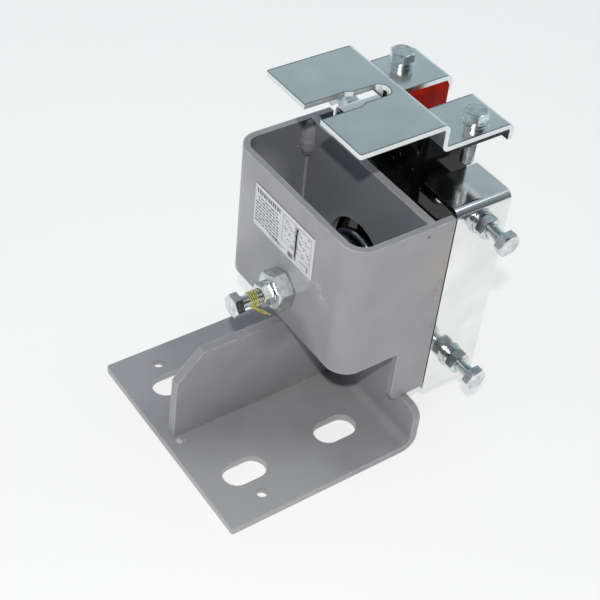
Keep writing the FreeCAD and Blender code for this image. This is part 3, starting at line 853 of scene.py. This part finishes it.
@dataclass
class Housing:
    """Bent bracket, gusset and housing with their weld runs and spatter."""

    finishes: Finishes
    nodes: DressedNodes
    upright_x: float = 65.5
    inner_y: float = 56.0
    top_z: float = 166.0
    base_z: float = 5.0
    gusset_y: float = 4.4
    gusset_t: float = 6.0
    gusset_start_x: float = -56.5
    seam_low_z: float = 77.0
    lump_foot_z: float = 142.0
    edge_r: float = 0.55
    bead_leg: float = 3.6
    seam_leg: float = 1.1
    lump_leg: float = 5.8
    gusset_bead_top: float = 60.0
    bend_room: float = 12.0

    def dress(self) -> None:
        """Paints the plates and rounds their edges."""
        self.nodes.dress(self.finishes.paint, self.edge_r, "base_bracket", "gusset_plate", "housing_shell")

    def welds(self) -> bpy.types.Object:
        """Rippled runs in place of the plain ones.

        Returns:
            The piece with all the runs.
        """
        back = Axis.BACK.vector
        up = Axis.UP.vector
        shape = Shape()
        side_y = self.gusset_y + self.gusset_t / 2
        start = Vector((self.gusset_start_x + 3, side_y, self.base_z))
        end = Vector((self.upright_x - self.bend_room, side_y, self.base_z))
        shape = shape.joined(Bead(start, end, Axis.LEFT.vector, up, self.bead_leg).build())
        for side in (-1, 1):
            y = self.gusset_y + side * self.gusset_t / 2
            out = Vector((0, side, 0))
            low = Vector((self.upright_x, y, self.base_z + self.bend_room))
            high = Vector((self.upright_x, y, self.base_z + self.gusset_bead_top))
            shape = shape.joined(Bead(low, high, back, out, self.bead_leg).build())
            inward = Vector((0, -side, 0))
            top = self.lump_foot_z if side > 0 else self.top_z - 3
            low = Vector((self.upright_x, side * self.inner_y, self.seam_low_z))
            high = Vector((self.upright_x, side * self.inner_y, top))
            seam = Bead(low, high, back, inward, self.seam_leg, ripple=0.08, spacing=2.5, lumpy=0.15)
            shape = shape.joined(seam.build())
        low = Vector((self.upright_x, self.inner_y, self.lump_foot_z - 1))
        high = Vector((self.upright_x, self.inner_y, self.top_z - 0.8))
        lump = Bead(
            low, high, back, Axis.RIGHT.vector, self.lump_leg,
            ripple=0.0, spacing=5.0, crown=0.42, lumpy=0.5, end_run=7.0, end_leg=0.5,
        )
        shape = shape.joined(lump.build())
        piece = shape.piece("weld_runs", self.finishes.weld_paint, "grey_paint", "bracket", 60.0)
        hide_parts("weld_beads")
        return piece

    def spatter(self) -> bpy.types.Object:
        """Painted drops of weld metal beside the gusset's foot and in the housing.

        Returns:
            The piece with all the drops.
        """
        drops = (
            (Vector((-55.2, -1.6, 5.0)), 1.6, Axis.UP.vector),
            (Vector((-51.6, -3.4, 5.0)), 1.2, Axis.UP.vector),
            (Vector((-46.0, -5.5, 5.0)), 0.5, Axis.UP.vector),
            (Vector((65.5, 44.0, 150.0)), 0.6, Axis.BACK.vector),
            (Vector((65.5, 40.0, 158.0)), 0.45, Axis.BACK.vector),
            (Vector((58.0, 56.0, 148.0)), 0.6, Axis.RIGHT.vector),
        )
        shape = Shape()
        for centre, radius, out in drops:
            rows = []
            for i in range(6):
                lean = math.pi / 2 * i / 5
                row = ring_row(max(radius * math.cos(lean), 0.01), radius * 0.8 * math.sin(lean), 16)
                rows.append([point * (1 + 0.18 * noise.noise((point + centre) * 1.7)) for point in row])
            shape = shape.joined(Shape().grid(rows, around=True).placed(centre, out))
        return shape.piece("weld_spatter", self.finishes.paint, "grey_paint", "bracket", 80.0)

    def build(self) -> None:
        """Dresses the plates and adds the welds."""
        self.dress()
        self.welds()
        self.spatter()


@dataclass
class Adjuster:
    """Sleeve, nuts, seat and coil spring behind them."""

    finishes: Finishes
    nodes: DressedNodes
    axis_z: float = 99.0
    wall_x: float = 14.2
    across_flats: float = 22.0
    nut_t: float = 10.0
    nut_bore: float = 14.1
    weld_nut_x: float = 18.2
    sleeve_d: float = 14.0
    sleeve_pitch: float = 1.5
    sleeve_mouth_r: float = 6.3
    sleeve_bore_r: float = 4.5
    locknut_turn_deg: float = 49.0
    wire_d: float = 6.5
    coil_d: float = 40.0
    turns: float = 3.5
    first_turn: float = 0.5
    ground: float = 0.4

    def centre(self, x: float) -> Vector:
        """Point of the adjuster's axis."""
        return Vector((x, 0.0, self.axis_z))

    def nuts(self) -> None:
        """Chamfered nuts in place of the plain ones."""
        nut = Hexagon(self.across_flats, self.nut_t, self.nut_bore).build()
        lock = nut.placed(self.centre(self.wall_x), Axis.BACK.vector, self.locknut_turn_deg)
        piece = lock.piece("sleeve_locknut", self.finishes.nut, "zinc_fastener", "bracket", 20.0)
        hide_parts("adjuster_locknut")
        weld = nut.placed(self.centre(self.weld_nut_x), Axis.RAIL.vector)
        piece = weld.piece("sleeve_weld_nut", self.finishes.fastener, "zinc_fastener", "bracket", 20.0)
        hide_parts("adjuster_weld_nut")

    def sleeve(self) -> None:
        """Threaded sleeve with its bore."""
        low, high = (corner.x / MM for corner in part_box("adjuster_sleeve"))
        length = high - low
        shape = Thread(self.sleeve_d, length, self.sleeve_pitch, 32).build()
        lip = [(self.sleeve_mouth_r, 0.0), (self.sleeve_bore_r, 0.0), (self.sleeve_bore_r, length)]
        shape = shape.placed(self.centre(high), Axis.BACK.vector)
        shape = shape.joined(lathe(lip, 48).placed(self.centre(low), Axis.RAIL.vector))
        piece = shape.piece("sleeve_thread", self.finishes.fastener, "zinc_fastener", "bracket", 30.0)
        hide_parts("adjuster_sleeve")

    def coil(self) -> bpy.types.Object:
        """Smooth coil with ground ends.

        Returns:
            The spring.
        """
        low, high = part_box("compression_spring")
        start, end = low.x / MM, high.x / MM
        radius = (self.coil_d - self.wire_d) / 2
        wire_r = self.wire_d / 2
        steps = 40
        sides = 20
        count = round(self.turns * steps)
        inset = wire_r - self.ground
        span = end - start - 2 * inset
        rows = []
        for i in range(count + 1):
            turned = i / steps
            turn = 2 * math.pi * (turned + self.first_turn)
            out = Vector((0, math.sin(turn), -math.cos(turn)))
            centre = Vector((start + inset + span * i / count, 0, 0)) + out * radius
            row = []
            for k in range(sides):
                a = 2 * math.pi * k / sides
                point = centre + (out * math.cos(a) + Axis.RAIL.vector * math.sin(a)) * wire_r
                point.x = min(max(point.x, start), end)
                point.z += self.axis_z
                row.append(point)
            rows.append(row)
        shape = Shape().grid(rows, around=True, capped=True)
        piece = shape.piece("coil_spring", self.finishes.spring, "spring_steel", None, 50.0)
        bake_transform(piece)
        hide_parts("compression_spring")
        return piece

    def build(self) -> None:
        """Builds the adjuster and dresses the seat."""
        self.nuts()
        self.sleeve()
        self.coil()
        self.nodes.dress(self.finishes.black, 0.3, "spring_seat")


@dataclass(frozen=True)
class Screw:
    """M8 hexagon screw, millimetres."""

    length: float
    across_flats: float = M8_FLATS
    head_t: float = 5.3
    diameter: float = 8.0

    def build(self, under_head: Vector, direction: Vector, turn_deg: float = 0.0) -> Shape:
        """Head and threaded shank.

        Args:
            under_head: Middle of the head's bearing face.
            direction: Where the shank runs.
            turn_deg: Turn of the head about its axis.

        Returns:
            The shape in the part's place.
        """
        head = Hexagon(self.across_flats, self.head_t, both_ends=False).build()
        head = head.placed(under_head, -direction, turn_deg)
        shank = Thread(self.diameter, self.length).build()
        return head.joined(shank.placed(under_head, direction))


@dataclass(frozen=True)
class SplitWasher:
    """Spring washer with its slanted cut, millimetres."""

    outer_d: float = 14.0
    bore_d: float = 8.4
    thickness: float = M8_SPRING_WASHER_T
    gap_deg: float = 9.0
    slant_deg: float = 7.0
    edge: float = 0.25

    def build(self, turn_deg: float) -> Shape:
        """Washer with its foot at zero.

        Args:
            turn_deg: Where the cut lies.

        Returns:
            The shape along its own Z.
        """
        e = self.edge
        r0, r1, t = self.bore_d / 2, self.outer_d / 2, self.thickness
        outline = [
            (r0 + e, 0), (r1 - e, 0), (r1, e), (r1, t - e), (r1 - e, t), (r0 + e, t), (r0, t - e), (r0, e),
        ]
        rows = []
        steps = 60
        for i in range(steps + 1):
            row = []
            for radius, height in outline:
                slant = self.slant_deg * (height / t - 0.5)
                turn = turn_deg + self.gap_deg / 2 + (360 - self.gap_deg) * i / steps + slant
                turn = math.radians(turn)
                row.append(Vector((radius * math.cos(turn), radius * math.sin(turn), height)))
            rows.append(row)
        return Shape().grid(rows, around=True, capped=True)


@dataclass
class StopBolt:
    """Long bolt through the spring, its nut, and the yellow thread wound on it.

    Each tail has its piece, the node it stands for, and points whose Z counts from the axis.
    """

    TAILS: ClassVar[tuple[tuple[str, str, tuple[Point, ...]], ...]] = (
        (
            "thread_end_1",
            "seal_thread_tail_1",
            (
                (-6.4, -2.4, -6.0), (-4.2, -3.4, -8.6), (-1.0, -3.8, -11.4),
                (2.4, -3.2, -13.8), (5.0, -2.4, -16.4),
            ),
        ),
        (
            "thread_end_2",
            "seal_thread_tail_2",
            (
                (-6.2, -1.8, -6.0), (-4.0, -1.8, -8.2), (-1.2, -1.2, -11.0),
                (2.0, -0.4, -14.2), (4.4, 0.0, -16.8),
            ),
        ),
    )

    finishes: Finishes
    axis_z: float = 99.0
    head_x: float = -16.4
    length: float = 80.0
    nut_x: float = -2.8
    head_turn_deg: float = 30.0
    nut_turn_deg: float = 10.0
    ply_d: float = 0.46
    ply_offset: float = 0.21
    loop_count: int = 4
    loop_pitch: float = 1.45
    loop_r: float = 4.5
    loop_lean: float = 1.0
    loop_start: float = 1.6
    thread_pitch: float = 2.2
    knot_pitch: float = 1.6
    tail_slim: float = 0.9

    def bolt(self) -> None:
        """Bolt and nut with real threads and chamfers."""
        centre = Vector((self.head_x, 0, self.axis_z))
        shape = Screw(self.length).build(centre, Axis.RAIL.vector, self.head_turn_deg)
        piece = shape.piece("stop_bolt_threaded", self.finishes.fastener, "zinc_fastener", "head", 24.0)
        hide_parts("stop_bolt")
        nut = Hexagon(M8_FLATS, M8_NUT_T, M8_NUT_BORE).build()
        nut = nut.placed(Vector((self.nut_x, 0, self.axis_z)), Axis.RAIL.vector, self.nut_turn_deg)
        piece = nut.piece("stop_nut", self.finishes.fastener, "zinc_fastener", "head", 20.0)
        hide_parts("stop_bolt_locknut")

    def loops(self) -> list[Vector]:
        """Path of the windings, leaning as they wander along the shank.

        Returns:
            The points of the path.
        """
        path = []
        steps = 48
        for i in range(self.loop_count * steps + 1):
            turn = 2 * math.pi * i / steps
            lean = self.loop_lean * math.sin(turn * 1.04 + 0.5)
            x = self.nut_x - self.loop_start - self.loop_pitch * i / steps + lean
            path.append(Vector((x, self.loop_r * math.sin(turn), self.axis_z - self.loop_r * math.cos(turn))))
        return path

    def tail(self, points: tuple[Vector, ...]) -> tuple[Vector, ...]:
        """Smooth path through a few points.

        Args:
            points: Points to pass through.

        Returns:
            The points of the path.
        """
        path = []
        padded = (points[0],) + points + (points[-1],)
        for i in range(1, len(padded) - 2):
            p0, p1, p2, p3 = padded[i - 1:i + 3]
            for k in range(14):
                t = k / 14
                path.append(
                    (p1 * 2 + (p2 - p0) * t + (p0 * 2 - p1 * 5 + p2 * 4 - p3) * t * t
                     + (p1 * 3 - p0 - p2 * 3 + p3) * t * t * t) * 0.5)
        path.append(points[-1])
        return tuple(path)

    def knot(self) -> list[Vector]:
        """Path of the knot under the windings.

        Returns:
            The points of the path.
        """
        centre = Vector((-6.6, -2.2, self.axis_z - 5.4))
        steps = 60
        path = []
        for i in range(steps + 1):
            t = 2 * math.pi * i / steps
            height = 0.8 * math.cos(t) + 0.3 * math.sin(3 * t)
            path.append(centre + Vector((0.95 * math.sin(2 * t), 0.5 * math.cos(3 * t), height)))
        return path

    def thread(self) -> None:
        """Twisted windings, knot and two tails."""
        loops = Tube(tuple(self.loops()), self.ply_d, 2, self.ply_offset, self.thread_pitch).build()
        knot = Tube(tuple(self.knot()), self.ply_d, 2, self.ply_offset * 0.8, self.knot_pitch).build()
        loops = loops.joined(knot)
        piece = loops.piece("thread_windings", self.finishes.thread, "yellow_thread", "head", 80.0)
        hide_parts("seal_thread")
        for name, node, points in self.TAILS:
            path = tuple(Vector((x, y, self.axis_z + z)) for x, y, z in points)
            ply_d = self.ply_d * self.tail_slim
            offset = self.ply_offset * self.tail_slim
            shape = Tube(self.tail(path), ply_d, 2, offset, self.thread_pitch).build()
            piece = shape.piece(name, self.finishes.thread, "yellow_thread", "head", 80.0)
            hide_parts(node)

    def build(self) -> None:
        """Builds the bolt and the thread."""
        self.bolt()
        self.thread()


@dataclass
class SideBolts:
    """Four side bolts with nuts and washers."""

    finishes: Finishes
    nodes: DressedNodes
    x: float = 102.0
    heights: tuple[float, float] = (51.0, 156.5)
    cheek_y: float = 58.75
    head_y: float = 79.1
    length: float = 50.0
    cut_turn_deg: float = 40.0

    def build(self) -> None:
        """Builds bolts, nuts and split washers, and dresses the flat washers."""
        bolts, nuts, splits = Shape(), Shape(), Shape()
        screw = Screw(self.length)
        split = SplitWasher().build(self.cut_turn_deg)
        nut = Hexagon(M8_FLATS, M8_NUT_T, M8_NUT_BORE).build()
        split_y = self.cheek_y + M8_WASHER_T
        nut_y = split_y + M8_SPRING_WASHER_T
        for side in (-1, 1):
            out = Vector((0, side, 0))
            for z in self.heights:
                bolts = bolts.joined(screw.build(Vector((self.x, side * self.head_y, z)), -out))
                splits = splits.joined(split.placed(Vector((self.x, side * split_y, z)), out))
                nuts = nuts.joined(nut.placed(Vector((self.x, side * nut_y, z)), out))
        metal = self.finishes.fastener
        for shape, name, node in (
            (bolts, "side_bolts_threaded", "side_bolts"),
            (nuts, "side_nuts", "side_locknuts"),
            (splits, "side_split_washers", "side_spring_washers"),
        ):
            piece = shape.piece(name, metal, "zinc_fastener", "head", 24.0)
            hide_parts(node)
        self.nodes.dress(metal, 0.2, "side_washers")


@dataclass
class TopPlate:
    """Slotted zinc plate with its two bolts."""

    finishes: Finishes
    nodes: DressedNodes
    x: float = 108.5
    y: float = 33.0
    seat_z: float = 204.0
    length: float = 30.0
    cut_turn_deg: float = -30.0

    def build(self) -> None:
        """Builds the bolts and split washers, and dresses plate and washers."""
        bolts, splits = Shape(), Shape()
        screw = Screw(self.length)
        split = SplitWasher().build(self.cut_turn_deg)
        for side in (-1, 1):
            place = Vector((self.x, side * self.y, self.seat_z + M8_WASHER_T))
            splits = splits.joined(split.placed(place, Axis.UP.vector))
            under = place + Axis.UP.vector * M8_SPRING_WASHER_T
            bolts = bolts.joined(screw.build(under, Axis.DOWN.vector))
        metal = self.finishes.fastener
        piece = bolts.piece("top_bolts_threaded", metal, "zinc_fastener", "head", 24.0)
        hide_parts("bracket_bolts")
        piece = splits.piece("top_split_washers", metal, "zinc_fastener", "head", 24.0)
        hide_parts("bracket_spring_washers")
        self.nodes.dress(metal, 0.2, "bracket_washers")
        self.nodes.dress(self.finishes.sheet, 0.35, "oiler_bracket")


@dataclass
class Head:
    """Floating head: channel, cheeks, cushions, holder and liner."""

    finishes: Finishes
    nodes: DressedNodes

    def build(self) -> None:
        """Dresses the head's plates and soft parts."""
        look = self.finishes
        self.nodes.dress(look.black, 0.3, "back_channel", "liner_holder", "guide_spigot")
        self.nodes.dress(look.cheek, 0.35, "cheek_plate_right", "cheek_plate_left")
        self.nodes.dress(look.rubber, 0.5, "back_cushion", "side_cushions")
        self.nodes.dress(look.fastener, 0.2, "pressure_discs")
        self.nodes.dress(look.liner, 0.5, "slide_liner")


@dataclass
class Label:
    """Foil plate on the housing with plain printed bars."""

    DARK_BARS: ClassVar[tuple[tuple[float, float, float, float], ...]] = (
        (41.9, 5.0, 43.0, 25.0),
        (35.5, 24.6, 40.2, 28.0),
        (47.0, 23.6, 53.6, 24.2),
        (54.2, 23.0, 55.2, 27.4),
    )

    finishes: Finishes
    nodes: DressedNodes
    face_x: float = 13.7
    left_y: float = 34.0
    top_z: float = 152.5
    ink_t: float = 0.03
    title_left: float = 2.2
    title_step: float = 2.2
    lines: int = 9
    first_line: float = 7.4
    line_step: float = 2.15
    margin: float = 1.4
    indented: float = 3.6
    text_right: float = 25.0
    word_gap: float = 0.7
    marks: int = 58

    def bar(self, u0: float, v0: float, u1: float, v1: float) -> Shape:
        """Flat printed bar.

        Args:
            u0: Left edge, from the label's left.
            v0: Top edge, down from the label's top.
            u1: Right edge.
            v1: Bottom edge.

        Returns:
            The bar just proud of the foil.
        """
        x = self.face_x - self.ink_t
        rows = [
            [Vector((x, self.left_y - u0, self.top_z - v1)), Vector((x, self.left_y - u1, self.top_z - v1))],
            [Vector((x, self.left_y - u0, self.top_z - v0)), Vector((x, self.left_y - u1, self.top_z - v0))],
        ]
        return Shape().grid(rows)

    def frame_lines(self, u0: float, v0: float, u1: float, v1: float, w: float) -> Shape:
        """Rectangle drawn with four thin bars."""
        shape = self.bar(u0, v0, u1, v0 + w).joined(self.bar(u0, v1 - w, u1, v1))
        return shape.joined(self.bar(u0, v0, u0 + w, v1)).joined(self.bar(u1 - w, v0, u1, v1))

    def text_bars(self) -> Shape:
        """Title and lines of word-like bars.

        Returns:
            The dark print on the left half.
        """
        shape = Shape()
        for i in range(11):
            left = self.title_left + self.title_step * i
            shape = shape.joined(self.bar(left, 2.4, left + 1.4 + 0.3 * (i % 2), 5.3))
        for i in range(self.lines):
            top = self.first_line + self.line_step * i
            left = self.indented if i < 2 else self.margin
            for k in range(7):
                word = 1.6 + 1.9 * abs(math.sin(5.3 * i + 2.1 * k))
                right = min(left + word, self.text_right)
                shape = shape.joined(self.bar(left, top, right, top + 1.0 - 0.2 * ((i + k) % 2)))
                left = right + self.word_gap
                if left > self.text_right - 1.5:
                    break
        return shape

    def small_marks(self) -> tuple[Shape, Shape]:
        """Marks spread over the two frames.

        Returns:
            The dark and the light ones.
        """
        shapes = [Shape(), Shape()]
        for i in range(self.marks):
            u = 29.4 + 25.0 * (0.618 * i % 1.0)
            v = 3.6 + 16.0 * (0.4142 * i % 1.0)
            mark = self.bar(u, v, u + 0.6 + 0.8 * (i % 3), v + 0.6 + 0.6 * (i % 2))
            tone = 1 if i % 3 else 0
            shapes[tone] = shapes[tone].joined(mark)
        return shapes[0], shapes[1]

    def build(self) -> None:
        """Dresses the foil and adds its print."""
        self.nodes.dress(self.finishes.foil, 0.0, "identity_label")
        dark, light = self.small_marks()
        dark = self.text_bars().joined(dark)
        for u0, u1 in ((28.4, 41.0), (43.6, 56.6)):
            light = light.joined(self.frame_lines(u0, 2.6, u1, 21.0, 0.5))
        for box in self.DARK_BARS:
            dark = dark.joined(self.bar(*box))
        light = light.joined(self.bar(41.2, 3.0, 43.4, 27.2))
        for i in range(3):
            low = 25.6 + 1.2 * (i % 2)
            light = light.joined(self.bar(14.0 + 3 * i, low, 27.0 + 3 * i, low + 0.6))
        dark.piece("label_bars_dark", self.finishes.print_dark, "label_foil", "bracket")
        light.piece("label_bars_light", self.finishes.print_light, "label_foil", "bracket")


@dataclass(frozen=True)
class SkyPatch:
    """Soft area of the surroundings that adds its own light."""

    towards: Point
    starts: float
    full: float
    colour: Colour


@dataclass
class Studio:
    """Floor, light and camera as in the photograph."""

    camera_at: Point = (-0.3317, -0.4500, 0.6092)
    right: Point = (0.8235, -0.5613, 0.0824)
    up: Point = (0.3315, 0.5940, 0.7330)
    lens: float = 78.8
    sensor: float = 36.0
    near_clip: float = 0.01
    floor_size: float = 6.0
    floor_drop: float = 0.0002
    floor_colour: Colour = (0.5, 0.496, 0.49)
    floor_glow: float = 0.6
    sky_base: Colour = (0.02, 0.021, 0.023)
    sky_patches: tuple[SkyPatch, ...] = (
        SkyPatch((0.0, 0.0, 1.0), 0.6, 0.95, (0.2, 0.225, 0.265)),
        SkyPatch((0.46, 0.576, 0.675), 0.86, 0.97, (0.04, 0.05, 0.06)),
        SkyPatch((-0.75, 0.4, 0.35), 0.6, 0.95, (0.4, 0.4, 0.42)),
        SkyPatch((0.46, -0.2, 0.86), 0.984, 0.994, (2.2, 2.2, 2.2)),
        SkyPatch((1.0, 0.0, 0.15), 0.5, 0.95, (0.6, 0.72, 0.77)),
        SkyPatch((0.0, 1.0, 0.15), 0.5, 0.95, (0.5, 0.6, 0.63)),
    )
    flash_at: Point = (-0.426, -0.540, 0.863)
    flash_aim: Point = (0.02, 0.0, 0.09)
    flash_power: float = 4.9
    flash_size: float = 0.03
    flash_colour: Colour = (1.0, 0.965, 0.93)

    def floor(self) -> None:
        """Pale floor that glows a little, so shadows on it stay light."""
        half = self.floor_size / 2 / MM
        rows = [[Vector((x, y, 0)) for x in (-half, half)] for y in (-half, half)]
        mesh = bpy.data.meshes.new("floor")
        shape = Shape().grid(rows)
        mesh.from_pydata([point * MM for point in shape.points], [], shape.faces)
        obj = bpy.data.objects.new("floor", mesh)
        obj.location.z = -self.floor_drop
        bpy.context.scene.collection.objects.link(obj)
        graph = Graph("studio_floor")
        shade = graph.ramp(graph.noise(3.0, 1.0), 0.3, 0.7)
        dim = tuple(value * 0.985 for value in self.floor_colour)
        graph.link(graph.mix(shade, dim, self.floor_colour), graph.shader.inputs["Base Color"])
        graph.shader.inputs["Roughness"].default_value = 0.8
        graph.shader.inputs["Specular IOR Level"].default_value = 0.1
        graph.shader.inputs["Emission Color"].default_value = (1.0, 1.0, 0.997, 1.0)
        graph.shader.inputs["Emission Strength"].default_value = self.floor_glow
        mesh.materials.append(graph.material)

    def sky(self) -> None:
        """Soft surroundings: an even tone and patches that add to it."""
        world = bpy.data.worlds.new("studio")
        bpy.context.scene.world = world
        world.use_nodes = True
        tree = world.node_tree
        place = tree.nodes.new("ShaderNodeTexCoord")
        base = tree.nodes.new("ShaderNodeRGB")
        base.outputs[0].default_value = (*self.sky_base, 1.0)
        colour = base.outputs[0]
        for patch in self.sky_patches:
            towards = tree.nodes.new("ShaderNodeVectorMath")
            towards.operation = "DOT_PRODUCT"
            towards.inputs[1].default_value = Vector(patch.towards).normalized()
            tree.links.new(place.outputs["Generated"], towards.inputs[0])
            share = tree.nodes.new("ShaderNodeMapRange")
            share.interpolation_type = "SMOOTHSTEP"
            share.inputs["From Min"].default_value = patch.starts
            share.inputs["From Max"].default_value = patch.full
            tree.links.new(towards.outputs["Value"], share.inputs["Value"])
            added = tree.nodes.new("ShaderNodeMix")
            added.data_type = "RGBA"
            added.blend_type = "ADD"
            added.inputs[7].default_value = (*patch.colour, 1.0)
            tree.links.new(colour, added.inputs[6])
            tree.links.new(share.outputs[0], added.inputs["Factor"])
            colour = added.outputs[2]
        background = tree.nodes["Background"]
        tree.links.new(colour, background.inputs["Color"])
        background.inputs["Strength"].default_value = 1.0

    def light(self) -> None:
        """One small light by the camera."""
        lamp = bpy.data.lights.new("flash", "AREA")
        lamp.shape = "DISK"
        lamp.size = self.flash_size
        lamp.energy = self.flash_power
        lamp.color = self.flash_colour
        obj = bpy.data.objects.new("flash", lamp)
        obj.location = self.flash_at
        aim = Vector(self.flash_aim) - Vector(self.flash_at)
        obj.rotation_euler = aim.to_track_quat("-Z", "Y").to_euler()
        bpy.context.scene.collection.objects.link(obj)

    def camera(self) -> None:
        """Camera at the photograph's place and angle."""
        data = bpy.data.cameras.new("photo")
        data.lens = self.lens
        data.sensor_width = self.sensor
        data.sensor_fit = "HORIZONTAL"
        data.clip_start = self.near_clip
        obj = bpy.data.objects.new("photo", data)
        right = Vector(self.right).normalized()
        up = Vector(self.up)
        up = (up - right * up.dot(right)).normalized()
        back = right.cross(up)
        turn = Matrix((right, up, back)).transposed().to_4x4()
        obj.matrix_world = Matrix.Translation(self.camera_at) @ turn
        bpy.context.scene.collection.objects.link(obj)
        bpy.context.scene.camera = obj

    def build(self) -> None:
        """Sets up floor, light and camera."""
        self.floor()
        self.sky()
        self.light()
        self.camera()
        bpy.context.scene.view_settings.view_transform = "Standard"
        LOG.info("studio ready")


def main() -> None:
    """Builds the part's looks in order."""
    logging.basicConfig(level=logging.INFO, format="%(name)s: %(message)s")
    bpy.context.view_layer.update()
    finishes = Finishes()
    nodes = DressedNodes()
    Housing(finishes, nodes).build()
    Adjuster(finishes, nodes).build()
    Label(finishes, nodes).build()
    Head(finishes, nodes).build()
    TopPlate(finishes, nodes).build()
    SideBolts(finishes, nodes).build()
    StopBolt(finishes).build()
    Studio().build()


if __name__ == "__main__":
    main()
